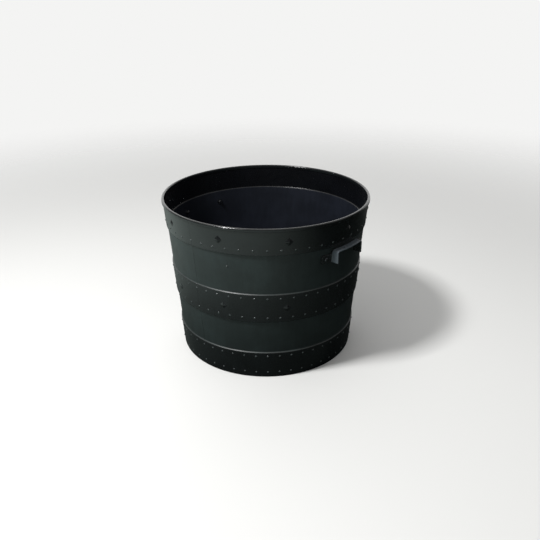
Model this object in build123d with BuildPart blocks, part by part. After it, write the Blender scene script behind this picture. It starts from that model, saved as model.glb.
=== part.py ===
"""Half-barrel planter: a moulded tub with hoop bands and two bolted bridge handles.

Millimetres, +Z up. The origin is the centre of the ring that the tub stands on.
The handles are on +X and -X, and the mould's parting lines would be on +Y and -Y.
"""
from build123d import *
import os
from math import asin, atan2, cos, degrees, radians, sin

os.makedirs("parts", exist_ok=True)

# Tub: one plain cone of staves, thickened by three bands
tub_height = 415.0
base_radius = 230.5      # outside of the staves' cone at the ground
top_radius = 264.5       # outside of the staves' cone at the rim's top
wall = 3.0

# Bands: a square step below and a short slope above
band_proud = 3.0
band_slope = 2.5
bottom_band_top = 76.0
middle_band_bottom = 165.5
middle_band_top = 244.0
top_band_bottom = 347.0

# Rim: a rounded bead, proud of the top band
rim_overhang = 2.5
rim_width = 7.0
rim_depth = 8.5
rim_round = 3.2
rim_under_round = 1.6
rim_lead_in = 2.0        # height of the slope from the inner wall to the bead

# Floor, standing ring and drain holes
floor_thickness = 4.0
foot_ring_height = 6.0
foot_ring_width = 8.0
floor_round = 8.0
drain_hole = 10.0
drain_count = 8
drain_circle = 300.0     # diameter of the circle that the drain holes lie on

# Small roundings of the tub's profile
step_round = 0.8
slope_round = 1.5
ledge_round = 1.2
foot_round = 1.5

# Moulded decoration: rows of pips and one row of studs on a band
pip_count = 50
pip_width = 5.0
pip_height = 1.5
pip_inset = 12.5         # from a band's edge to the middle of a pip
bottom_pip_inset = 15.0  # the lowest row, from the ground
stud_count = 10
stud_width = 20.4        # corner to corner
stud_height = 3.0
stud_tip = 1.6           # corner to corner of the blunt tip
top_stud_rise = 33.5     # from the top band's lower edge to the studs
root_depth = 0.6         # how far pips and studs start below the surface
lone_pip_column = -9.5   # pip pitches from +X to the single pip between two bands
lone_pip_height = 312.0

# Handle: an inverted U of flat strap with a foot outside each leg
handle_drop = 6.5        # below the top band's lower edge
handle_length = 98.0
handle_height = 33.0
handle_reach = 19.5      # from the wall to the strap's outer edge, which runs round with the wall
strap = 4.0
strap_bend = 8.0         # outside radius of the two bends
strap_inner_bend = 4.0
strap_edge_round = 1.0
foot_length = 28.0       # along the wall, outwards from the leg
foot_rise = 22.0
foot_plate = 3.2
foot_corner = 5.0
screw_stand_off = 15.0   # from the leg's outer face to the screw's axis
foot_sink = 6.4          # how far a foot's block starts inside the wall, before the wall's cone cuts it off
seat_gap = 0.2           # between a curved wall and what is clamped to it

# Handle fasteners: pan-head screw, wide washer and hexagon nut
screw_diameter = 5.0
screw_clearance = 0.5    # hole diameter over screw diameter
screw_tail = 2.5         # past the nut
head_diameter = 10.0
head_height = 3.4
head_round = 1.8
recess_length = 5.0
recess_width = 1.1
recess_depth = 1.8
washer_diameter = 15.0
washer_thickness = 1.2
nut_across_flats = 8.0
nut_height = 4.0
nut_chamfer = 0.5
thread_gap = 0.05        # a plain bore stands in for the nut's thread
bore_cutter = 40.0       # length of what cuts a screw's hole, well past both faces


def stave_radius(height):
    """Outside radius of the staves' cone at a height."""
    return base_radius + (top_radius - base_radius) * height / tub_height


taper = atan2(top_radius - base_radius, tub_height)
wall_across = wall * cos(taper)


def wall_plane(angle, height, proud=0.0):
    """Plane on the outside of the wall: X runs round the tub, Z points straight out of the wall."""
    turn = radians(angle)
    radius = stave_radius(height) + proud
    outward = (cos(taper) * cos(turn), cos(taper) * sin(turn), -sin(taper))
    along = (-sin(turn), cos(turn), 0)
    return Plane(origin=(radius * cos(turn), radius * sin(turn), height), x_dir=along, z_dir=outward)


# Levels and radii that follow from the driving sizes
rim_radius = top_radius + band_proud + rim_overhang
rim_bottom = tub_height - rim_depth
rim_inside = rim_radius - rim_width
ledge_level = top_band_bottom + wall
floor_top = foot_ring_height + floor_thickness
foot_outside = stave_radius(0) + band_proud
foot_inside = foot_outside - foot_ring_width
pip_pitch = 360 / pip_count
stud_pitch = 360 / stud_count

handle_top = top_band_bottom - handle_drop
handle_bottom = handle_top - handle_height
handle_edge = stave_radius(handle_top) + handle_reach
screw_level = handle_bottom + foot_rise / 2
screw_across = handle_length / 2 + screw_stand_off
screw_angle = degrees(asin(screw_across / stave_radius(screw_level)))
screw_hole = screw_diameter + screw_clearance
screw_angles = {
    "right_front": -screw_angle,
    "right_rear": screw_angle,
    "left_front": 180 + screw_angle,
    "left_rear": 180 - screw_angle,
}

# Pip: a low dome on a short root, made once and set round the bands
with BuildPart() as pip:
    with BuildSketch(Plane.XZ):
        with BuildLine():
            Polyline((0, pip_height), (0, -root_depth), (pip_width / 2, -root_depth), (pip_width / 2, 0))
            TangentArc((0, pip_height), (pip_width / 2, 0), tangent=(1, 0))
        make_face()
    revolve(axis=Axis.Z)

# Stud: a low pyramid that stands on one corner
with BuildPart() as stud:
    with BuildSketch(Plane.XY.offset(-root_depth)):
        RegularPolygon(radius=stud_width / 2, side_count=4)
    with BuildSketch(Plane.XY.offset(stud_height)):
        RegularPolygon(radius=stud_tip / 2, side_count=4)
    loft(ruled=True)

pip_rows = [
    bottom_pip_inset,
    bottom_band_top - pip_inset,
    middle_band_bottom + pip_inset,
    middle_band_top - pip_inset,
    top_band_bottom + pip_inset,
]
stud_rows = [(middle_band_bottom + middle_band_top) / 2, top_band_bottom + top_stud_rise]
pip_places = [
    wall_plane((column + 0.5) * pip_pitch, height, band_proud)
    for height in pip_rows
    for column in range(pip_count)
]
pip_places.append(wall_plane(lone_pip_column * pip_pitch, lone_pip_height))
stud_places = [
    wall_plane(column * stud_pitch, height, band_proud)
    for height in stud_rows
    for column in range(stud_count)
]

# Tub shell: the section through one side, turned round the axis
outline = [
    (foot_outside, 0),
    (stave_radius(bottom_band_top - band_slope) + band_proud, bottom_band_top - band_slope),
    (stave_radius(bottom_band_top), bottom_band_top),
    (stave_radius(middle_band_bottom), middle_band_bottom),
    (stave_radius(middle_band_bottom) + band_proud, middle_band_bottom),
    (stave_radius(middle_band_top - band_slope) + band_proud, middle_band_top - band_slope),
    (stave_radius(middle_band_top), middle_band_top),
    (stave_radius(top_band_bottom), top_band_bottom),
    (stave_radius(top_band_bottom) + band_proud, top_band_bottom),
    (stave_radius(rim_bottom) + band_proud, rim_bottom),
    (rim_radius, rim_bottom),
    (rim_radius, tub_height),
    (rim_inside, tub_height),
    (rim_inside, rim_bottom),
    (stave_radius(rim_bottom - rim_lead_in) + band_proud - wall, rim_bottom - rim_lead_in),
    (stave_radius(ledge_level) + band_proud - wall, ledge_level),
    (stave_radius(ledge_level) - wall, ledge_level),
    (stave_radius(floor_top) - wall, floor_top),
    (0, floor_top),
    (0, foot_ring_height),
    (foot_inside, foot_ring_height),
    (foot_inside, 0),
]
corner_rounds = {
    0: foot_round,
    1: slope_round,
    2: slope_round,
    4: step_round,
    5: slope_round,
    6: slope_round,
    8: step_round,
    10: rim_under_round,
    11: rim_round,
    12: rim_round,
    15: ledge_round,
    16: ledge_round,
    17: floor_round,
}
seam_turn = radians(pip_pitch)
seam_plane = Plane(
    origin=(0, 0, 0),
    x_dir=(cos(seam_turn), sin(seam_turn), 0),
    z_dir=(sin(seam_turn), -cos(seam_turn), 0),
)

with BuildPart() as tub_shell:
    with BuildSketch(seam_plane) as section:
        with BuildLine():
            Polyline(*outline, close=True)
        make_face()
        for corner, radius in corner_rounds.items():
            fillet(section.vertices().sort_by_distance(outline[corner])[0], radius)
    revolve(axis=Axis.Z)
    with Locations(*stud_places):
        add(stud.part)
    with Locations(*pip_places):
        add(pip.part)
    with BuildSketch(Plane.XY.offset(foot_ring_height)):
        with PolarLocations(drain_circle / 2, drain_count):
            Circle(drain_hole / 2)
    extrude(amount=floor_thickness, mode=Mode.SUBTRACT)
    with Locations(*[wall_plane(angle, screw_level) for angle in screw_angles.values()]):
        Cylinder(radius=screw_hole / 2, height=bore_cutter, mode=Mode.SUBTRACT)
tub_shell.part.label = "tub_shell"
export_step(tub_shell.part, "parts/tub_shell.step")

# Handle on +X: its outer edge runs round with the wall. The strap and its feet start inside the wall, and
# the wall's cone cuts them off
half_length = handle_length / 2
strap_root = stave_radius(handle_bottom) - half_length
strap_outline = [
    (-half_length, handle_bottom),
    (-half_length, handle_top),
    (half_length, handle_top),
    (half_length, handle_bottom),
    (half_length - strap, handle_bottom),
    (half_length - strap, handle_top - strap),
    (strap - half_length, handle_top - strap),
    (strap - half_length, handle_bottom),
]
strap_rounds = {1: strap_bend, 2: strap_bend, 5: strap_inner_bend, 6: strap_inner_bend}
foot_overlap = strap / 2

with BuildPart() as handle_right:
    with BuildSketch(Plane.YZ.offset(strap_root)) as strap_section:
        with BuildLine():
            Polyline(*strap_outline, close=True)
        make_face()
        for corner, radius in strap_rounds.items():
            fillet(strap_section.vertices().sort_by_distance(strap_outline[corner])[0], radius)
    extrude(amount=handle_edge - strap_root)
    with Locations((0, 0, handle_top)):
        Cylinder(radius=handle_edge, height=2 * handle_top, mode=Mode.INTERSECT)
    fillet(handle_right.faces().sort_by(Axis.X)[-1].edges(), strap_edge_round)
    for side in (-1, 1):
        foot_plane = wall_plane(side * screw_angle, screw_level)
        with BuildSketch(foot_plane.offset(-foot_sink)) as foot:
            inner_end = -screw_stand_off - foot_overlap
            outer_end = foot_length - screw_stand_off
            with Locations((side * (inner_end + outer_end) / 2, 0)):
                Rectangle(outer_end - inner_end, foot_rise)
            along_foot = foot.vertices().sort_by(Axis.X)
            outer_corners = along_foot[:2] if side < 0 else along_foot[-2:]
            fillet(outer_corners, foot_corner)
        extrude(amount=foot_sink + foot_plate)
        with Locations(foot_plane):
            Cylinder(radius=screw_hole / 2, height=bore_cutter, mode=Mode.SUBTRACT)
    with Locations((0, 0, 0)):
        Cone(
            bottom_radius=stave_radius(0) + seat_gap,
            top_radius=stave_radius(tub_height) + seat_gap,
            height=tub_height,
            align=(Align.CENTER, Align.CENTER, Align.MIN),
            mode=Mode.SUBTRACT,
        )
handle_right.part.label = "handle_right"
export_step(handle_right.part, "parts/handle_right.step")

with BuildPart() as handle_left:
    with Locations(Location((0, 0, 0), (0, 0, 180))):
        add(handle_right.part)
handle_left.part.label = "handle_left"
export_step(handle_left.part, "parts/handle_left.step")

# Fastener stack along the foot's outward normal, counted from the outside of the wall
head_seat = foot_plate
washer_outer_face = -wall_across - seat_gap
nut_outer_face = washer_outer_face - washer_thickness
screw_end = nut_outer_face - nut_height - screw_tail

for place, angle in screw_angles.items():
    seat = wall_plane(angle, screw_level)

    with BuildPart() as screw:
        with BuildSketch(seat.offset(head_seat)):
            Circle(head_diameter / 2)
        extrude(amount=head_height)
        fillet(screw.faces().sort_by(Axis(seat.origin, seat.z_dir))[-1].edges(), head_round)
        with BuildSketch(seat.offset(head_seat)):
            Circle(screw_diameter / 2)
        extrude(amount=screw_end - head_seat)
        with BuildSketch(seat.offset(head_seat + head_height - recess_depth)):
            Rectangle(recess_length, recess_width)
            Rectangle(recess_width, recess_length)
        extrude(amount=recess_depth, mode=Mode.SUBTRACT)
    screw.part.label = f"handle_screw_{place}"
    export_step(screw.part, f"parts/handle_screw_{place}.step")

    with BuildPart() as washer:
        with BuildSketch(seat.offset(washer_outer_face)):
            Circle(washer_diameter / 2)
            Circle(screw_hole / 2, mode=Mode.SUBTRACT)
        extrude(amount=-washer_thickness)
    washer.part.label = f"handle_washer_{place}"
    export_step(washer.part, f"parts/handle_washer_{place}.step")

    with BuildPart() as nut:
        with BuildSketch(seat.offset(nut_outer_face)):
            RegularPolygon(radius=nut_across_flats / 2, major_radius=False, side_count=6)
        extrude(amount=-nut_height)
        nut_ends = nut.faces().filter_by(Axis(seat.origin, seat.z_dir)).edges()
        chamfer(nut_ends, nut_chamfer)
        with Locations(seat.offset(nut_outer_face)):
            Cylinder(radius=screw_diameter / 2 + thread_gap, height=bore_cutter, mode=Mode.SUBTRACT)
    nut.part.label = f"handle_nut_{place}"
    export_step(nut.part, f"parts/handle_nut_{place}.step")
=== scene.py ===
"""Studio scene of the half-barrel planter: moulded tub, bridge handles and their fasteners.

Every length is in metres in the part's own frame: +Z up, the origin in the middle of the standing
ring, one handle on +X and the other on -X. Sizes in the property groups default to the part's own.
"""
import math

import bmesh
import bpy
import numpy as np
from bpy.props import FloatProperty, FloatVectorProperty, IntProperty, PointerProperty
from bpy.types import Operator, Panel, PropertyGroup
from mathutils import Matrix, Vector


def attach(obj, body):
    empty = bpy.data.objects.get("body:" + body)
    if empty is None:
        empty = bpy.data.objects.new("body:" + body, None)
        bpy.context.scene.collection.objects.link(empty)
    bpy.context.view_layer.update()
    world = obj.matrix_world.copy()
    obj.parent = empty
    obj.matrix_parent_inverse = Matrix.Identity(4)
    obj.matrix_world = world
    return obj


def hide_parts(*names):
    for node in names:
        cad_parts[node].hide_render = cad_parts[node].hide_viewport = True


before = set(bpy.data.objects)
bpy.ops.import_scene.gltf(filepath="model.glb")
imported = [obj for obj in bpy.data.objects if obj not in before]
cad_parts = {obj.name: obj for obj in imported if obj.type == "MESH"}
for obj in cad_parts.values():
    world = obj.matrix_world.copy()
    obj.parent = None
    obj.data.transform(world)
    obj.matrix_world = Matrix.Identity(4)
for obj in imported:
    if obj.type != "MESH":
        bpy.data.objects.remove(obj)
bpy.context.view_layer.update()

bl_info = {
    "name": "Half-barrel planter",
    "version": (1, 0, 0),
    "blender": (4, 5, 0),
    "location": "3D View > Sidebar > Planter",
    "description": "Builds a moulded half-barrel planter with its studio",
    "category": "Object",
}

MM = 0.001
STAVE, BAND, INSIDE, BASIN = 0, 1, 2, 3     # places in the tub's list of materials
DRAIN_HOLES = 8
AROUND = 480                 # steps round the tub, a multiple of twice the drain holes
FLOOR_RING_OUT, FLOOR_RING_IN = 180 * MM, 120 * MM     # the ring of the floor that holds the drain holes
FLOOR_RELIEF = 60 * MM       # radius where the floor's inner disc has one more ring of points
GATE = ((8.0, 0.0), (7.0, 0.0), (6.5, 0.0), (5.0, -0.5), (2.0, -0.8))     # radius and drop, millimetres
GATE_TIP = -0.7 * MM
WAVE_DEPTH, WAVES = 0.15 * MM, 10     # soft waves round the staves
ROOT = 0.6 * MM              # how far a pip reaches into the wall
STUD_ROOT = 0.7 * MM
KEY_TURN, KEY_HEIGHT, KEY_AWAY = math.radians(-55), math.radians(56), 2.4
FILL_TURN, FILL_HEIGHT, FILL_AWAY = math.radians(80), math.radians(25), 2.6
LAMP_TARGET = (0.0, 0.0, 0.2)
LENS, SHIFT, ROLL = 41.12, (0.0069, -0.0103), -0.0086
VIEW_TARGET = Vector((0.0, 0.0, 207.5 * MM))
CORNERS = ("right_front", "right_rear", "left_front", "left_rear")


def length(name, description, millimetres):
    """A length property whose default is given in millimetres."""
    return FloatProperty(name=name, description=description, default=millimetres * MM,
                         min=0.0, precision=5, subtype="DISTANCE", unit="LENGTH")


def share(name, description, default):
    """A property that runs from nothing to all."""
    return FloatProperty(name=name, description=description, default=default,
                         min=0.0, max=1.0, subtype="FACTOR")


def linear(code):
    """Linear RGBA of a hexadecimal sRGB colour, by the sRGB curve."""
    parts = [int(code[k:k + 2], 16) / 255 for k in (0, 2, 4)]
    curve = [c / 12.92 if c <= 0.04045 else ((c + 0.055) / 1.055) ** 2.4 for c in parts]
    return (*curve, 1.0)


def colour(name, description, code):
    """A colour property whose default is a hexadecimal sRGB code."""
    return FloatVectorProperty(name=name, description=description, default=linear(code),
                               size=4, min=0.0, max=1.0, subtype="COLOR")


class PlanterSizes(PropertyGroup):
    """Sizes of the tub and of what is moulded on it."""

    height: length("Height", "From the ground to the top of the rim", 415.0)
    base_radius: length("Base radius", "Outside of the staves at the ground", 230.5)
    top_radius: length("Top radius", "Outside of the staves at the rim's top", 264.5)
    wall: length("Wall", "Thickness of the moulded wall", 3.0)
    band_proud: length("Band proud", "How far the hoop bands stand out", 3.0)
    band_slope: length("Band slope", "Height of the slope on top of a band", 2.5)
    bottom_band_top: length("Bottom band top", "Top of the lowest band", 76.0)
    middle_band_bottom: length("Middle band bottom", "Lower edge of the middle band", 165.5)
    middle_band_top: length("Middle band top", "Top of the middle band", 244.0)
    top_band_bottom: length("Top band bottom", "Lower edge of the top band", 347.0)
    rim_overhang: length("Rim overhang", "How far the bead stands out of the top band", 2.5)
    rim_width: length("Rim width", "Width of the bead", 7.0)
    rim_depth: length("Rim depth", "Depth of the bead", 8.5)
    floor_thickness: length("Floor thickness", "Thickness of the floor", 4.0)
    foot_height: length("Foot height", "Height of the standing ring", 6.0)
    foot_width: length("Foot width", "Width of the standing ring", 8.0)
    drain_hole: length("Drain hole", "Diameter of a drain hole", 10.0)
    drain_circle: length("Drain circle", "Diameter of the circle of drain holes", 300.0)
    pip_width: length("Pip width", "Diameter of a moulded pip", 5.0)
    pip_height: length("Pip height", "Height of a moulded pip", 1.5)
    pip_inset: length("Pip inset", "From a band's edge to its row of pips", 12.5)
    lowest_pips: length("Lowest row of pips", "Height of the lowest row of pips", 15.0)
    lone_pip: length("Lone pip", "Height of the lone pip on the upper staves", 312.0)
    stud_width: length("Stud width", "Diamond stud, corner to corner", 20.4)
    stud_height: length("Stud height", "Height of a diamond stud", 3.0)
    stud_rise: length("Stud row", "From the top band's lower edge to its row of studs", 33.5)
    line_width: length("Parting line width", "Width of the mould's parting line", 0.7)
    line_height: length("Parting line height", "Height of the mould's parting line", 0.28)
    oval: length("Out of round", "How far the rim is drawn in between the handles", 0.5)
    pip_count: IntProperty(name="Pips in a row", description="Moulded pips round a band",
                           default=50, min=8)
    stud_count: IntProperty(name="Studs in a row", description="Diamond studs round a band",
                            default=10, min=3)


class PlanterFinish(PropertyGroup):
    """Colours and gloss of the planter's materials."""

    stave: colour("Staves", "Satin black of the staves", "1f2727")
    band: colour("Bands", "Glossier black of the bands and the rim", "121516")
    inside: colour("Inside", "Black of the inside above the ledge", "07080b")
    basin: colour("Basin", "Duller inside and floor below the ledge", "171a21")
    handle: colour("Handle", "Black of the handles' feet", "1c1f20")
    # Painted highlight: the lit tone of the handles' strap; the strap's own plastic is the black above.
    painted_strap_light: colour("Grip", "Greyer strap of the handles, rubbed by hands", "5f676e")
    dust: colour("Dust", "Dust lying on what faces up", "6c675c")
    # Painted highlight: the pips are made paler than the bands so that they read as lit dots.
    pip: colour("Pips", "Moulded pips, painted_highlight paler", "393f3f")
    steel: colour("Steel", "Blackened steel of the fasteners", "77797c")
    stave_gloss: share("Stave roughness", "Roughness of the staves", 0.44)
    band_gloss: share("Band roughness", "Roughness of the bands and the rim", 0.19)
    inside_gloss: share("Inside roughness", "Roughness of the inside above the ledge", 0.28)
    basin_gloss: share("Basin roughness", "Roughness of the inside below the ledge", 0.36)
    handle_gloss: share("Handle roughness", "Roughness of the handles", 0.22)
    dustiness: share("Dustiness", "How much dust lies on what faces up", 0.10)


class PlanterStage(PropertyGroup):
    """Floor, lamps and camera."""

    floor: colour("Floor", "Pale studio floor", "e4e4e2")
    backdrop: colour("Backdrop", "What the camera sees behind the floor", "f4f4f3")
    # Painted reflection: how the floor shows in the tub's gloss, painted light at the key lamp's side and
    # painted shade away from it and close to the tub.
    bright_side: colour("Floor in the gloss, bright side",
                        "How the floor shows in the gloss at the key lamp's side", "b9c7c1")
    dark_side: colour("Floor in the gloss, dark side",
                      "How the floor shows in the gloss away from the key lamp", "1a201d")
    key_power: FloatProperty(name="Key lamp", description="Power of the soft lamp at the left",
                             default=58.0, min=0.0, subtype="POWER", unit="POWER")
    fill_power: FloatProperty(name="Fill lamp", description="Power of the soft lamp at the right",
                              default=2.0, min=0.0, subtype="POWER", unit="POWER")
    azimuth: FloatProperty(name="View azimuth", description="Camera's turn from looking along +Y",
                           default=math.radians(42.66), subtype="ANGLE", unit="ROTATION")
    elevation: FloatProperty(name="View elevation", description="Camera's height over the horizon",
                             default=math.radians(24.515), subtype="ANGLE", unit="ROTATION")
    distance: length("View distance", "From the camera to the middle of the tub", 1694.9)


# Meshes


def grid_faces(rows, columns, first=0):
    """Quads of a grid whose columns close on themselves."""
    row = np.arange(rows - 1)[:, None] * columns
    column = np.arange(columns)[None, :]
    after = (column + 1) % columns
    quads = np.stack([row + column, row + after, row + columns + after, row + columns + column], -1)
    return quads.reshape(-1, 4) + first


def fan_faces(columns, ring, pole):
    """Triangles from a closed ring of points to one pole."""
    column = np.arange(columns)
    return np.stack([ring + column, ring + (column + 1) % columns, np.full(columns, pole)], -1)


def repeat(points, faces, copies):
    """Faces of one template given again for each of its copies."""
    start = np.arange(copies)[:, None, None] * points
    return (faces[None] + start).reshape(-1, faces.shape[1])


def make_piece(name, points, faces, materials, zones=None, weld=False):
    """A closed smooth mesh object in the part's frame; faces is a list of index arrays."""
    mesh = bpy.data.meshes.new(name)
    mesh.from_pydata(points.tolist(), [], [f for part in faces for f in part.tolist()])
    for material in materials:
        mesh.materials.append(material)
    if zones is not None:
        mesh.polygons.foreach_set("material_index", np.concatenate(zones).astype(np.int32))
    work = bmesh.new()
    work.from_mesh(mesh)
    if weld:
        bmesh.ops.remove_doubles(work, verts=work.verts, dist=1e-6)
    bmesh.ops.recalc_face_normals(work, faces=work.faces)
    work.to_mesh(mesh)
    work.free()
    mesh.polygons.foreach_set("use_smooth", np.ones(len(mesh.polygons), bool))
    mesh.update()
    made = bpy.data.objects.new(name, mesh)
    bpy.context.scene.collection.objects.link(made)
    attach(made, "root")
    return made


def stave_radius(size, level):
    """Outside radius of the staves' cone at a level."""
    return size.base_radius + (size.top_radius - size.base_radius) * level / size.height


def draw_in(points, size):
    """The points moved inwards as a cooled moulding is: the rim a little oval between the handles,
    by out-of-round * rise * sin^2(angle) where rise = level / height, and the staves in soft waves,
    by depth * sin(pi * rise) * (1 - cos(waves * angle)) / 2."""
    angle = np.arctan2(points[:, 1], points[:, 0])
    radius = np.hypot(points[:, 0], points[:, 1])
    rise = points[:, 2] / size.height
    inward = size.oval * rise * np.sin(angle) ** 2
    inward += WAVE_DEPTH * np.sin(math.pi * np.clip(rise, 0, 1)) * (0.5 - 0.5 * np.cos(WAVES * angle))
    scale = 1 - inward / np.maximum(radius, 0.1)
    return np.column_stack([points[:, 0] * scale, points[:, 1] * scale, points[:, 2]])


def wrap_on_wall(local, angles, levels, proud, size):
    """Template points (round, up the slope, outward) laid on the tub's cone at each angle and level:
    radius = cone + proud + up * sin(taper) + outward * cos(taper), angle = place + round / cone."""
    taper = math.atan2(size.top_radius - size.base_radius, size.height)
    across, up, out = (local[None, :, k] for k in range(3))
    cone = stave_radius(size, levels)[:, None]
    radius = cone + proud[:, None] + up * math.sin(taper) + out * math.cos(taper)
    level = levels[:, None] + up * math.cos(taper) - out * math.sin(taper)
    angle = angles[:, None] + across / cone
    points = np.stack([radius * np.cos(angle), radius * np.sin(angle), level], -1)
    return draw_in(points.reshape(-1, 3), size)


def rounded_outline(corners, span=12 * MM, guard=0.5 * MM):
    """Points along a chain of straight edges whose corners are arcs, with the zone of each step.

    An arc of radius q at a corner that turns by t starts q * tan(t / 2) from the corner. Each
    straight also has a point a guard's length from either end, so that shading stays flat on it.
    """
    places = np.array([c[:2] for c in corners], float)
    chain, zones = [places[0]], []

    def straight(end, zone):
        start = chain[-1]
        run = np.linalg.norm(end - start)
        if run < 1e-7:
            return
        edge = min(guard, run / 4)
        inner = max(1, math.ceil((run - 2 * edge) / span))
        steps = np.concatenate([[edge], edge + (run - 2 * edge) * np.arange(1, inner + 1) / inner, [run]])
        chain.extend(start + (end - start) * s / run for s in steps)
        zones.extend([zone] * len(steps))

    for before, corner, after in zip(corners, corners[1:], corners[2:]):
        here = np.array(corner[:2], float)
        back, on = (np.array(c[:2], float) - here for c in (before, after))
        back, on = back / np.linalg.norm(back), on / np.linalg.norm(on)
        turn = math.pi - math.acos(float(np.clip(back @ on, -1, 1)))
        start = here + back * corner[2] * math.tan(turn / 2)
        straight(start, before[3])
        side = on - (on @ back) * back
        side /= np.linalg.norm(side)
        steps = max(3, math.ceil(turn / math.radians(13)))
        for phi in turn * np.arange(1, steps + 1) / steps:
            chain.append(start + corner[2] * (side * (1 - math.cos(phi)) - back * math.sin(phi)))
            zones.append(corner[3] if corner[3] != STAVE else before[3])
    straight(places[-1], corners[-2][3])
    return np.array(chain), np.array(zones)


def tub_corners(size, floor_ring):
    """Corners of the tub's half section as (radius, level, rounding, zone of the edge after it)."""
    def stave(level, out=0.0):
        return stave_radius(size, level) + out

    proud, wall, slope = size.band_proud, size.wall, size.band_slope
    foot_out = stave(0) + proud
    foot_in = foot_out - size.foot_width
    rim_out = size.top_radius + proud + size.rim_overhang
    rim_low = size.height - size.rim_depth
    lead_in = rim_low - 2 * MM
    ledge = size.top_band_bottom + wall
    floor_top = size.foot_height + size.floor_thickness
    low_top, mid_low, mid_top = size.bottom_band_top, size.middle_band_bottom, size.middle_band_top
    return [
        (floor_ring, size.foot_height, 0, INSIDE),
        (foot_in, size.foot_height, 1.0 * MM, INSIDE),
        (foot_in, 0, 0.6 * MM, INSIDE),
        (foot_out, 0, 1.5 * MM, BAND),
        (stave(low_top - slope, proud), low_top - slope, 1.5 * MM, STAVE),
        (stave(low_top), low_top, 1.5 * MM, STAVE),
        (stave(mid_low), mid_low, 0.5 * MM, BAND),
        (stave(mid_low, proud), mid_low, 0.8 * MM, BAND),
        (stave(mid_top - slope, proud), mid_top - slope, 1.5 * MM, STAVE),
        (stave(mid_top), mid_top, 1.5 * MM, STAVE),
        (stave(size.top_band_bottom), size.top_band_bottom, 0.5 * MM, BAND),
        (stave(size.top_band_bottom, proud), size.top_band_bottom, 0.8 * MM, BAND),
        (stave(rim_low, proud), rim_low, 0.6 * MM, BAND),
        (rim_out, rim_low, 1.6 * MM, BAND),
        (rim_out, size.height, 3.2 * MM, BAND),
        (rim_out - size.rim_width, size.height, 3.2 * MM, BAND),
        (rim_out - size.rim_width, rim_low, 1.0 * MM, INSIDE),
        (stave(lead_in, proud - wall), lead_in, 1.0 * MM, INSIDE),
        (stave(ledge, proud - wall), ledge, 1.2 * MM, INSIDE),
        (stave(ledge, -wall), ledge, 1.2 * MM, BASIN),
        (stave(floor_top, -wall), floor_top, 8.0 * MM, BASIN),
        (floor_ring, floor_top, 0, BASIN),
    ]


def revolved(chain, first=0):
    """Points and quads of a chain of (radius, level) turned once round the axis:
    x = radius * cos(angle), y = radius * sin(angle), z = level."""
    angle = np.arange(AROUND) * math.tau / AROUND
    radius, level = chain[:, 0][:, None], chain[:, 1][:, None]
    points = np.stack([radius * np.cos(angle), radius * np.sin(angle), level + 0 * angle], -1)
    return points.reshape(-1, 3), grid_faces(len(chain), AROUND, first)


def holed_sectors(inner, outer, centre, hole, top, bottom, count, first):
    """One ring of the floor in equal sectors, each with a drain hole through it.

    A sector's edge is followed once round: outer arc, side, inner arc, side. Each of its points is
    joined to the hole along the straight line from the hole's centre, first on top and then below,
    and the hole's two lips are eased by 0.4 mm.
    """
    steps, sides = AROUND // count, 6
    half = math.pi / count
    arc = np.linspace(-half, half, steps + 1)[:-1]
    run = np.linspace(outer, inner, sides + 1)[:-1]
    angle = np.concatenate([arc, np.full(sides, half), -arc, np.full(sides, -half)])
    radius = np.concatenate([np.full(steps, outer), run, np.full(steps, inner), outer + inner - run])
    loop = np.column_stack([radius * np.cos(angle), radius * np.sin(angle)])
    middle = np.array([centre, 0.0])
    ray = (loop - middle) / np.linalg.norm(loop - middle, axis=1)[:, None]
    ease = 0.4 * MM
    lip, bore = middle + (hole + ease) * ray, middle + hole * ray
    rows = [(loop - lip) * part + lip for part in (1.0, 0.5, 0.22, 0.07, 0.0)]
    half_rows = [np.column_stack([r, np.full(len(r), top)]) for r in rows]
    half_rows.append(np.column_stack([bore, np.full(len(bore), top - ease)]))
    other = [np.column_stack([r[:, :2], top + bottom - r[:, 2]]) for r in reversed(half_rows)]
    template = np.concatenate(half_rows + other)
    turn = np.arange(count) * math.tau / count
    x, y, z = (template[None, :, k] for k in range(3))
    cosine, sine = np.cos(turn)[:, None], np.sin(turn)[:, None]
    points = np.stack([x * cosine - y * sine, x * sine + y * cosine, z + 0 * cosine], -1)
    faces = grid_faces(len(half_rows) * 2, len(loop))
    return points.reshape(-1, 3), repeat(len(template), faces, count) + first


def build_tub(size, materials):
    """The moulded tub: its half section turned once round the axis, down to a floor ring with the
    drain holes and, inside that, two discs that close on the axis. Replaces the CAD shell."""
    floor_low, floor_top = size.foot_height, size.foot_height + size.floor_thickness
    chain, zones = rounded_outline(tub_corners(size, FLOOR_RING_OUT))
    points, faces = revolved(chain)
    parts, quads, kinds = [points], [faces], [np.repeat(zones, AROUND)]
    count = len(points)
    points, faces = holed_sectors(FLOOR_RING_IN, FLOOR_RING_OUT, size.drain_circle / 2,
                                  size.drain_hole / 2, floor_top, floor_low, DRAIN_HOLES, count)
    parts.append(points)
    quads.append(faces)
    kinds.append(np.full(len(faces), BASIN))
    count += len(points)
    gate = [(radius * MM, floor_low + drop * MM) for radius, drop in GATE]
    below = np.array([(FLOOR_RING_IN, floor_low), (FLOOR_RELIEF, floor_low)] + gate)
    above = np.array([(FLOOR_RING_IN, floor_top), (FLOOR_RELIEF, floor_top), (12 * MM, floor_top)])
    for disc, pole in ((above, floor_top), (below, floor_low + GATE_TIP)):
        points, faces = revolved(disc, count)
        points = np.vstack([points, [0, 0, pole]])
        tip = count + len(points) - 1
        parts.append(points)
        quads += [faces, fan_faces(AROUND, tip - AROUND, tip)]
        kinds += [np.full(len(faces), BASIN), np.full(AROUND, BASIN)]
        count += len(points)
    points = draw_in(np.vstack(parts), size)
    tub = make_piece("tub_moulding", points, quads, materials, kinds, weld=True)
    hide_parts("tub_shell")
    return tub


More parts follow.
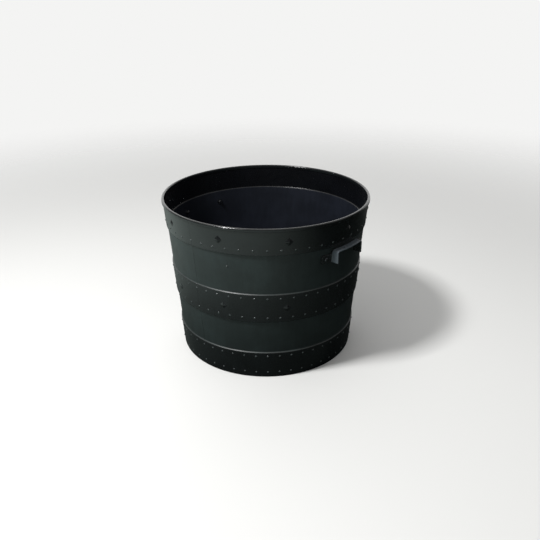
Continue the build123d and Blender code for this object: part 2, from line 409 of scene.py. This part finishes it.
def build_pips(size, material):
    """Low domes in rows round the bands and one between two bands. A dome's height at a distance d
    from its middle is sqrt(q^2 - d^2) - (q - h), q being the sphere through its top and foot, and a
    0.35 mm cove carries it down into the wall."""
    radius, height = size.pip_width / 2, size.pip_height
    sphere = (radius ** 2 + height ** 2) / (2 * height)
    away = radius * np.sin(np.linspace(0.12, 1.0, 7) * math.pi / 2)
    rise = np.sqrt(sphere ** 2 - away ** 2) - (sphere - height)
    away = np.append(away, [radius + 0.12 * MM, radius + 0.35 * MM, radius + 0.2 * MM])
    rise = np.append(rise, [-0.02 * MM, -0.1 * MM, -ROOT])
    columns = 20
    angle = np.arange(columns) * math.tau / columns
    rings = np.stack([away[:, None] * np.cos(angle), away[:, None] * np.sin(angle),
                      rise[:, None] + 0 * angle], -1).reshape(-1, 3)
    local = np.vstack([rings, [0, 0, height], [0, 0, -ROOT]])
    top, bottom = len(rings), len(rings) + 1
    levels = np.array([size.lowest_pips, size.bottom_band_top - size.pip_inset,
                       size.middle_band_bottom + size.pip_inset, size.middle_band_top - size.pip_inset,
                       size.top_band_bottom + size.pip_inset])
    pitch = math.tau / size.pip_count
    angles = (np.arange(size.pip_count) + 0.5) * pitch
    places = np.append(np.tile(angles, len(levels)), -9.5 * pitch)
    heights = np.append(np.repeat(levels, size.pip_count), size.lone_pip)
    proud = np.append(np.full(len(places) - 1, size.band_proud), 0.0)
    points = wrap_on_wall(local, places, heights, proud, size)
    quads = repeat(len(local), grid_faces(len(away), columns), len(places))
    caps = np.vstack([fan_faces(columns, 0, top), fan_faces(columns, top - columns, bottom)])
    return make_piece("moulded_pips", points, [quads, repeat(len(local), caps, len(places))],
                      [material])


def build_studs(size, material):
    """Low pyramids that stand on one corner. With u and v along the two pairs of sides, the height is
    h * (1 - (|u|^8 + |v|^8)^(1/8)), which eases the four ridges and the tip, and the foot of each
    side turns down into the wall."""
    cells = 25
    line = np.sin(np.linspace(-1, 1, cells) * math.pi / 2) * 0.35 + np.linspace(-1, 1, cells) * 0.65
    u, v = np.meshgrid(line, line, indexing="ij")
    size_round = (np.abs(u) ** 8 + np.abs(v) ** 8) ** 0.125
    tip = 0.08
    rise = size.stud_height * (1 - np.sqrt(size_round ** 2 + tip ** 2) + tip * 0.4)
    half = size.stud_width / 2
    across, up = (u - v) / 2 * half, (u + v) / 2 * half
    grid = np.stack([across, up, np.maximum(rise, -0.15 * MM)], -1)
    ring = np.concatenate([np.arange(cells - 1), np.arange(cells - 1) * cells + cells - 1,
                           cells * cells - 1 - np.arange(cells - 1),
                           (cells - 1 - np.arange(cells - 1)) * cells])
    surface = grid.reshape(-1, 3)
    skirt = surface[ring] * [1, 1, 0] + [0, 0, -STUD_ROOT]
    local = np.vstack([surface, skirt, [0, 0, -STUD_ROOT]])
    index = np.arange(cells * cells).reshape(cells, cells)
    quads = np.stack([index[:-1, :-1], index[1:, :-1], index[1:, 1:], index[:-1, 1:]], -1).reshape(-1, 4)
    first = cells * cells
    step = np.arange(len(ring))
    after = (step + 1) % len(ring)
    sides = np.stack([ring, ring[after], first + after, first + step], -1)
    cap = fan_faces(len(ring), first, first + len(ring))
    levels = np.array([(size.middle_band_bottom + size.middle_band_top) / 2,
                       size.top_band_bottom + size.stud_rise])
    angles = np.tile(np.arange(size.stud_count) * math.tau / size.stud_count, len(levels))
    heights = np.repeat(levels, size.stud_count)
    points = wrap_on_wall(local, angles, heights, np.full(len(angles), size.band_proud), size)
    copies = len(angles)
    faces = [repeat(len(local), np.vstack([quads, sides]), copies), repeat(len(local), cap, copies)]
    return make_piece("diamond_studs", points, faces, [material])


def build_parting_lines(size, material):
    """A fine ridge up each side, where the two halves of the mould met. Its section is a flat arc,
    across = half width * cos(t), out = height * sin(t), swept along the outer half section."""
    chain, _ = rounded_outline(tub_corners(size, FLOOR_RING_OUT)[2:16])
    chain = chain[2:]
    slope = np.gradient(chain, axis=0)
    slope /= np.linalg.norm(slope, axis=1)[:, None]
    normal = np.column_stack([slope[:, 1], -slope[:, 0]])
    arc = np.linspace(0, math.pi, 7)
    across = np.concatenate([np.cos(arc), [-1, 1]]) * size.line_width / 2
    out = np.concatenate([np.sin(arc) * size.line_height - 0.04 * MM, [-0.5 * MM, -0.5 * MM]])
    radius = chain[:, 0][:, None] + normal[:, 0][:, None] * out
    level = chain[:, 1][:, None] + normal[:, 1][:, None] * out
    level = np.clip(level, 0.0, size.height)
    columns = len(across)
    strips, faces = [], []
    for side in (-1, 1):
        angle = side * math.pi / 2 + across / size.top_radius
        strip = np.stack([radius * np.cos(angle), radius * np.sin(angle), level], -1).reshape(-1, 3)
        first = sum(len(s) for s in strips)
        strips.append(strip)
        end = first + len(strip) - columns
        faces += [grid_faces(len(chain), columns, first), np.arange(first, first + columns)[None],
                  np.arange(end, end + columns)[None]]
    points = draw_in(np.vstack(strips), size)
    return make_piece("parting_lines", points, faces, [material])


def build_handle(side, material):
    """A bridge handle: the CAD handle's own surface, resampled on a 0.6 mm grid and relaxed, so that
    its edges, and the corners where the strap meets its feet, are eased like a moulding's."""
    node = f"handle_{side}"
    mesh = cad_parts[node].data.copy()
    work = bpy.data.objects.new(f"bridge_{node}", mesh)
    bpy.context.scene.collection.objects.link(work)
    remesh = work.modifiers.new("resample", "REMESH")
    remesh.mode, remesh.voxel_size, remesh.adaptivity = "VOXEL", 0.6 * MM, 0.0
    relax = work.modifiers.new("relax", "SMOOTH")
    relax.factor, relax.iterations = 0.5, 5
    evaluated = work.evaluated_get(bpy.context.evaluated_depsgraph_get())
    shaped = bpy.data.meshes.new_from_object(evaluated)
    work.modifiers.clear()
    work.data = shaped
    bpy.data.meshes.remove(mesh)
    shaped.materials.clear()
    shaped.materials.append(material)
    shaped.polygons.foreach_set("use_smooth", np.ones(len(shaped.polygons), bool))
    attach(work, "root")
    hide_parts(node)
    return work


# Materials


def add_node(tree, kind, inputs=None, **settings):
    """Adds one node, sets its properties, and sets or links its inputs by name or number."""
    made = tree.nodes.new(kind)
    for key, value in settings.items():
        setattr(made, key, value)
    for key, value in (inputs or {}).items():
        if isinstance(value, bpy.types.NodeSocket):
            tree.links.new(value, made.inputs[key])
        else:
            made.inputs[key].default_value = value
    return made


def noise(tree, at, grain_mm, detail=2.0, rough=0.5, stretch=None):
    """Noise whose features are about so many millimetres across."""
    if stretch:
        at = add_node(tree, "ShaderNodeMapping", {"Vector": at, "Scale": stretch}).outputs[0]
    inputs = {"Vector": at, "Scale": 1 / (grain_mm * MM), "Detail": detail, "Roughness": rough}
    return add_node(tree, "ShaderNodeTexNoise", inputs).outputs[0]


def ramp(tree, value, low, high, out_low=0.0, out_high=1.0):
    """A smooth step of a value from one range to another."""
    inputs = {"Value": value, "From Min": low, "From Max": high, "To Min": out_low, "To Max": out_high}
    return add_node(tree, "ShaderNodeMapRange", inputs, interpolation_type="SMOOTHSTEP").outputs[0]


def maths(tree, operation, *values):
    """One arithmetic step on sockets or numbers."""
    return add_node(tree, "ShaderNodeMath", dict(enumerate(values)), operation=operation).outputs[0]


def blend(tree, factor, first, second):
    """Mixes two colours."""
    inputs = {0: factor, 6: first, 7: second}
    return add_node(tree, "ShaderNodeMix", inputs, data_type="RGBA").outputs[2]


def bump(tree, height, depth_mm, normal=None, strength=1.0):
    """Bumps the surface by a height from 0 to 1 that stands for so many millimetres."""
    inputs = {"Height": height, "Distance": depth_mm * MM, "Strength": strength}
    if normal is not None:
        inputs["Normal"] = normal
    return add_node(tree, "ShaderNodeBump", inputs).outputs[0]


def new_material(name):
    """An empty node material and its output."""
    material = bpy.data.materials.new(name)
    material.use_nodes = True
    material.node_tree.nodes.clear()
    output = add_node(material.node_tree, "ShaderNodeOutputMaterial")
    return material, material.node_tree, output


def polypropylene(name, dark, rough, grain_depth, finish, painted_strap_light=None):
    """Black moulded polypropylene: a fine etched grain, slow waves from cooling, gloss that drifts where it
    was handled, hairline scratches, and dust on what faces up. On the handles a painted highlight, the
    strap's lit colour, comes in from 3.6 to 5.5 mm outside the staves, by the distance from the axis less the
    cone's radius, on faces that don't look down or towards the handle's middle; those faces, where shade
    falls, stay black."""
    material, tree, output = new_material(name)
    at = add_node(tree, "ShaderNodeTexCoord").outputs["Object"]
    geometry = add_node(tree, "ShaderNodeNewGeometry").outputs["Normal"]
    sideways, facing = add_node(tree, "ShaderNodeSeparateXYZ", {0: geometry}).outputs[1:3]
    drift = noise(tree, at, 70.0, 3.0)
    mottle = noise(tree, at, 14.0, 4.0, 0.6)
    grain = noise(tree, at, 1.3, 2.0)
    waves = noise(tree, at, 55.0, 1.0)
    streaks = noise(tree, at, 9.0, 3.0, 0.6, (1.0, 1.0, 0.12))
    veins = noise(tree, at, 30.0, 1.0, 0.5, (1.0, 1.0, 2.2))
    line = maths(tree, "ABSOLUTE", maths(tree, "SUBTRACT", veins, 0.5))
    scratch = maths(tree, "MULTIPLY", ramp(tree, line, 0.0, 0.0012, 1.0, 0.0),
                    ramp(tree, noise(tree, at, 24.0, 1.0), 0.56, 0.66))
    patchy = ramp(tree, mottle, 0.35, 0.65, 0.35, 1.0)
    lying = maths(tree, "MULTIPLY", ramp(tree, facing, 0.45, 0.95), patchy)
    dust = maths(tree, "MULTIPLY", lying, finish.dustiness)
    pale = tuple(1.45 * c for c in dark[:3]) + (1.0,)
    cloudy = maths(tree, "ADD", drift, maths(tree, "MULTIPLY", streaks, 0.5))
    tone = blend(tree, ramp(tree, cloudy, 0.6, 0.95), dark, pale)
    if painted_strap_light is not None:
        # Painted highlight: the strap's lit colour, left off the faces that look down or towards the handle's
        # middle, where shade falls.
        flat = add_node(tree, "ShaderNodeVectorMath", {0: at, 1: (1.0, 1.0, 0.0)}, operation="MULTIPLY")
        radius = add_node(tree, "ShaderNodeVectorMath", {0: flat.outputs[0]},
                          operation="LENGTH").outputs["Value"]
        along, height = add_node(tree, "ShaderNodeSeparateXYZ", {0: at}).outputs[1:3]
        size = bpy.context.scene.planter_sizes
        flare = (size.top_radius - size.base_radius) / size.height
        proud = maths(tree, "SUBTRACT", radius, maths(tree, "MULTIPLY_ADD", height, flare, size.base_radius))
        turned_out = ramp(tree, maths(tree, "MULTIPLY", along, sideways), -0.025, -0.005)
        outer = maths(tree, "MULTIPLY", turned_out, ramp(tree, facing, -0.8, -0.3))
        painted_lit_not_rubbed = maths(tree, "MULTIPLY", ramp(tree, proud, 3.6 * MM, 5.5 * MM), outer)
        tone = blend(tree, painted_lit_not_rubbed, tone, painted_strap_light)
    tone = blend(tree, dust, tone, finish.dust)
    gloss = maths(tree, "ADD", rough - 0.06, maths(tree, "MULTIPLY", mottle, 0.12))
    gloss = maths(tree, "ADD", gloss, maths(tree, "MULTIPLY", dust, 0.5))
    gloss = maths(tree, "ADD", gloss, maths(tree, "MULTIPLY", scratch, 0.18))
    normal = bump(tree, waves, 0.35)
    normal = bump(tree, grain, grain_depth, normal)
    normal = bump(tree, scratch, 0.02, normal)
    shader = add_node(tree, "ShaderNodeBsdfPrincipled", {
        "Base Color": tone, "Roughness": gloss, "IOR": 1.49, "Normal": normal})
    tree.links.new(shader.outputs[0], output.inputs[0])
    return material


def black_steel(name, finish):
    """Blackened steel under oil: soft clouds in the oxide and a fine drawn grain."""
    material, tree, output = new_material(name)
    at = add_node(tree, "ShaderNodeTexCoord").outputs["Object"]
    cloud = noise(tree, at, 2.5, 3.0)
    fine = noise(tree, at, 0.35, 2.0)
    dull = tuple(0.5 * c for c in finish.steel[:3]) + (1.0,)
    tone = blend(tree, ramp(tree, cloud, 0.35, 0.7), finish.steel, dull)
    gloss = maths(tree, "ADD", 0.18, maths(tree, "MULTIPLY", cloud, 0.16))
    shader = add_node(tree, "ShaderNodeBsdfPrincipled", {
        "Base Color": tone, "Metallic": 1.0, "Roughness": gloss, "Normal": bump(tree, fine, 0.01)})
    tree.links.new(shader.outputs[0], output.inputs[0])
    return material


def pale_floor(name, stage):
    """Matt pale studio floor that fades into the backdrop well away from the object. For every ray but the
    camera's the floor takes a painted reflection instead: painted light at the key lamp's side and painted
    shade close to the tub and away from the lamp.
    """
    material, tree, output = new_material(name)
    at = add_node(tree, "ShaderNodeTexCoord").outputs["Object"]
    away = add_node(tree, "ShaderNodeVectorMath", {0: at}, operation="LENGTH").outputs["Value"]
    paper = noise(tree, at, 3.0, 3.0)
    dim = tuple(0.985 * c for c in stage.floor[:3]) + (1.0,)
    tone = blend(tree, paper, stage.floor, dim)
    # Painted reflection for every ray but the camera's: painted light towards the key lamp's side, fading to
    # painted shade away from it and towards the tub, inside 0.95 m of its middle.
    turn = stage.azimuth + KEY_TURN
    lamp_side = (math.sin(turn), -math.cos(turn), 0.0)
    side = add_node(tree, "ShaderNodeVectorMath", {0: at, 1: lamp_side},
                    operation="DOT_PRODUCT").outputs["Value"]
    lit = maths(tree, "MULTIPLY", ramp(tree, side, -0.5, 0.8), ramp(tree, away, 0.22, 0.95, 0.15, 1.0))
    gloss = blend(tree, lit, stage.dark_side, stage.bright_side)
    path = add_node(tree, "ShaderNodeLightPath").outputs["Is Camera Ray"]
    tone = blend(tree, path, gloss, tone)
    matt = add_node(tree, "ShaderNodeBsdfPrincipled", {
        "Base Color": tone, "Roughness": 0.9, "Specular IOR Level": 0.15})
    clear = add_node(tree, "ShaderNodeBsdfTransparent")
    mixed = add_node(tree, "ShaderNodeMixShader", {
        0: ramp(tree, away, 0.9, 3.2), 1: matt.outputs[0], 2: clear.outputs[0]})
    tree.links.new(mixed.outputs[0], output.inputs[0])
    return material


# Operators


def tub_materials(finish):
    """The tub's four finishes, made once: staves, bands and rim, inside above the ledge, and basin."""
    names = ("polypropylene_staves", "polypropylene_bands", "polypropylene_inside", "polypropylene_basin")
    rough = (finish.stave_gloss, finish.band_gloss, finish.inside_gloss, finish.basin_gloss)
    tones = (finish.stave, finish.band, finish.inside, finish.basin)
    grain = (0.035, 0.012, 0.02, 0.03)
    made = []
    for name, tone, gloss, depth in zip(names, tones, rough, grain):
        material = bpy.data.materials.get(name)
        made.append(material or polypropylene(name, tone, gloss, depth, finish))
    return made


class PLANTER_OT_tub(Operator):
    """Builds the moulded tub with its bands, rim, floor and drain holes."""

    bl_idname = "planter.tub"
    bl_label = "Moulded tub"

    def execute(self, context):
        build_tub(context.scene.planter_sizes, tub_materials(context.scene.planter_finish))
        return {"FINISHED"}


class PLANTER_OT_pips(Operator):
    """Sets the rows of moulded pips round the bands."""

    bl_idname = "planter.pips"
    bl_label = "Moulded pips"

    def execute(self, context):
        finish = context.scene.planter_finish
        # The pips' paler colour is a painted highlight.
        material = polypropylene("polypropylene_pips", finish.pip, finish.band_gloss, 0.012, finish)
        build_pips(context.scene.planter_sizes, material)
        return {"FINISHED"}


class PLANTER_OT_studs(Operator):
    """Sets the diamond studs round the top and middle bands."""

    bl_idname = "planter.studs"
    bl_label = "Diamond studs"

    def execute(self, context):
        build_studs(context.scene.planter_sizes, tub_materials(context.scene.planter_finish)[BAND])
        return {"FINISHED"}


class PLANTER_OT_parting_lines(Operator):
    """Runs the mould's parting line up both sides of the tub."""

    bl_idname = "planter.parting_lines"
    bl_label = "Parting lines"

    def execute(self, context):
        build_parting_lines(context.scene.planter_sizes, tub_materials(context.scene.planter_finish)[BAND])
        return {"FINISHED"}


class PLANTER_OT_handles(Operator):
    """Shapes both bridge handles."""

    bl_idname = "planter.handles"
    bl_label = "Bridge handles"

    def execute(self, context):
        finish = context.scene.planter_finish
        # The handles' material carries the strap's painted highlight.
        material = polypropylene("polypropylene_handle", finish.handle, finish.handle_gloss, 0.02,
                                 finish, finish.painted_strap_light)
        for side in ("right", "left"):
            build_handle(side, material)
        return {"FINISHED"}


class PLANTER_OT_fasteners(Operator):
    """Finishes the CAD screws, washers and nuts in blackened steel."""

    bl_idname = "planter.fasteners"
    bl_label = "Fasteners"

    def execute(self, context):
        material = black_steel("blackened_steel", context.scene.planter_finish)
        for kind in ("screw", "washer", "nut"):
            for corner in CORNERS:
                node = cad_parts[f"handle_{kind}_{corner}"]
                node.data.materials.clear()
                node.data.materials.append(material)
        return {"FINISHED"}


def direction(azimuth, elevation):
    """Unit vector from a target to a viewer or lamp, its azimuth counted from -Y towards +X."""
    flat = math.cos(elevation)
    return Vector((math.sin(azimuth) * flat, -math.cos(azimuth) * flat, math.sin(elevation)))


def add_lamp(name, power, size, azimuth, elevation, distance):
    """A square soft lamp that shines at the tub's middle from an azimuth and elevation."""
    lamp = bpy.data.lights.new(name, "AREA")
    lamp.energy, lamp.size = power, size
    thing = bpy.data.objects.new(name, lamp)
    bpy.context.scene.collection.objects.link(thing)
    thing.location = Vector(LAMP_TARGET) + direction(azimuth, elevation) * distance
    thing.rotation_mode = "QUATERNION"
    thing.rotation_quaternion = (Vector(LAMP_TARGET) - thing.location).to_track_quat("-Z", "Y")


def build_world(stage):
    """Soft studio surround: brighter overhead, at the camera's left and beyond the tub, and the
    plain backdrop colour where the camera looks past the floor."""
    world = bpy.data.worlds.new("studio")
    world.use_nodes = True
    tree = world.node_tree
    tree.nodes.clear()
    output = add_node(tree, "ShaderNodeOutputWorld")
    way = add_node(tree, "ShaderNodeTexCoord").outputs["Generated"]
    turn = stage.azimuth
    left = (-math.cos(turn) * 0.75 + math.sin(turn) * 0.35,
            -math.sin(turn) * 0.75 - math.cos(turn) * 0.35, 0.45)
    toward = add_node(tree, "ShaderNodeVectorMath", {0: way, 1: left},
                      operation="DOT_PRODUCT").outputs["Value"]
    up = add_node(tree, "ShaderNodeSeparateXYZ", {0: way}).outputs[2]
    overhead = ramp(tree, up, -0.1, 0.9, 0.15, 0.5)
    level = maths(tree, "MULTIPLY", overhead, ramp(tree, toward, -0.8, 0.8, 0.3, 1.0))
    ahead = (-math.sin(turn), math.cos(turn), 0.0)
    beyond = add_node(tree, "ShaderNodeVectorMath", {0: way, 1: ahead},
                      operation="DOT_PRODUCT").outputs["Value"]
    level = maths(tree, "ADD", level, ramp(tree, beyond, 0.4, 0.9, 0.0, 1.3))
    soft = add_node(tree, "ShaderNodeBackground", {"Color": (1.0, 1.0, 1.0, 1.0), "Strength": level})
    plain = add_node(tree, "ShaderNodeBackground", {"Color": stage.backdrop, "Strength": 1.0})
    path = add_node(tree, "ShaderNodeLightPath").outputs
    seen = maths(tree, "MAXIMUM", path["Is Camera Ray"], path["Is Transmission Ray"])
    mixed = add_node(tree, "ShaderNodeMixShader", {0: seen, 1: soft.outputs[0], 2: plain.outputs[0]})
    tree.links.new(mixed.outputs[0], output.inputs[0])
    bpy.context.scene.world = world


def build_camera(stage):
    """The camera of the photograph: angle, distance and lens found by fitting the tub's own circles."""
    data = bpy.data.cameras.new("view")
    data.sensor_width, data.lens = 36.0, LENS
    data.shift_x, data.shift_y = SHIFT
    data.clip_start, data.clip_end = 0.05, 100.0
    camera = bpy.data.objects.new("view", data)
    bpy.context.scene.collection.objects.link(camera)
    azimuth, elevation = stage.azimuth, stage.elevation
    back = direction(azimuth, elevation)
    right = Vector((math.cos(azimuth), math.sin(azimuth), 0.0))
    up = back.cross(right)
    across = math.cos(ROLL) * right + math.sin(ROLL) * up
    upright = math.cos(ROLL) * up - math.sin(ROLL) * right
    turn = Matrix((across, upright, back)).transposed()
    camera.matrix_world = Matrix.Translation(VIEW_TARGET + back * stage.distance) @ turn.to_4x4()
    bpy.context.scene.camera = camera


class PLANTER_OT_stage(Operator):
    """Lays the pale floor, hangs the lamps and sets the camera."""

    bl_idname = "planter.stage"
    bl_label = "Studio"

    def execute(self, context):
        stage = context.scene.planter_stage
        half = 4.0
        mesh = bpy.data.meshes.new("floor")
        corners = [(-half, -half, 0), (half, -half, 0), (half, half, 0), (-half, half, 0)]
        mesh.from_pydata(corners, [], [(0, 1, 2, 3)])
        mesh.materials.append(pale_floor("matt_floor", stage))
        ground = bpy.data.objects.new("floor", mesh)
        context.scene.collection.objects.link(ground)
        add_lamp("key", stage.key_power, 0.35, stage.azimuth + KEY_TURN, KEY_HEIGHT, KEY_AWAY)
        add_lamp("fill", stage.fill_power, 1.2, stage.azimuth + FILL_TURN, FILL_HEIGHT, FILL_AWAY)
        build_world(stage)
        build_camera(stage)
        context.scene.view_settings.view_transform = "Standard"
        return {"FINISHED"}


PIECES = (PLANTER_OT_tub, PLANTER_OT_pips, PLANTER_OT_studs, PLANTER_OT_parting_lines,
          PLANTER_OT_handles, PLANTER_OT_fasteners, PLANTER_OT_stage)


class PLANTER_PT_sidebar(Panel):
    """Lists the planter's pieces, sizes and finishes."""

    bl_idname = "PLANTER_PT_sidebar"
    bl_label = "Half-barrel planter"
    bl_space_type = "VIEW_3D"
    bl_region_type = "UI"
    bl_category = "Planter"

    def draw(self, context):
        column = self.layout.column()
        for piece in PIECES:
            column.operator(piece.bl_idname)
        for group in (context.scene.planter_sizes, context.scene.planter_finish, context.scene.planter_stage):
            box = self.layout.box()
            for name in group.__annotations__:
                box.prop(group, name)


CLASSES = (PlanterSizes, PlanterFinish, PlanterStage, *PIECES, PLANTER_PT_sidebar)


def register():
    for cls in CLASSES:
        bpy.utils.register_class(cls)
    bpy.types.Scene.planter_sizes = PointerProperty(type=PlanterSizes)
    bpy.types.Scene.planter_finish = PointerProperty(type=PlanterFinish)
    bpy.types.Scene.planter_stage = PointerProperty(type=PlanterStage)


def unregister():
    for name in ("planter_stage", "planter_finish", "planter_sizes"):
        delattr(bpy.types.Scene, name)
    for cls in reversed(CLASSES):
        bpy.utils.unregister_class(cls)


def main():
    register()
    bpy.ops.planter.tub()
    bpy.ops.planter.pips()
    bpy.ops.planter.studs()
    bpy.ops.planter.parting_lines()
    bpy.ops.planter.handles()
    bpy.ops.planter.fasteners()
    bpy.ops.planter.stage()


if __name__ == "__main__":
    main()
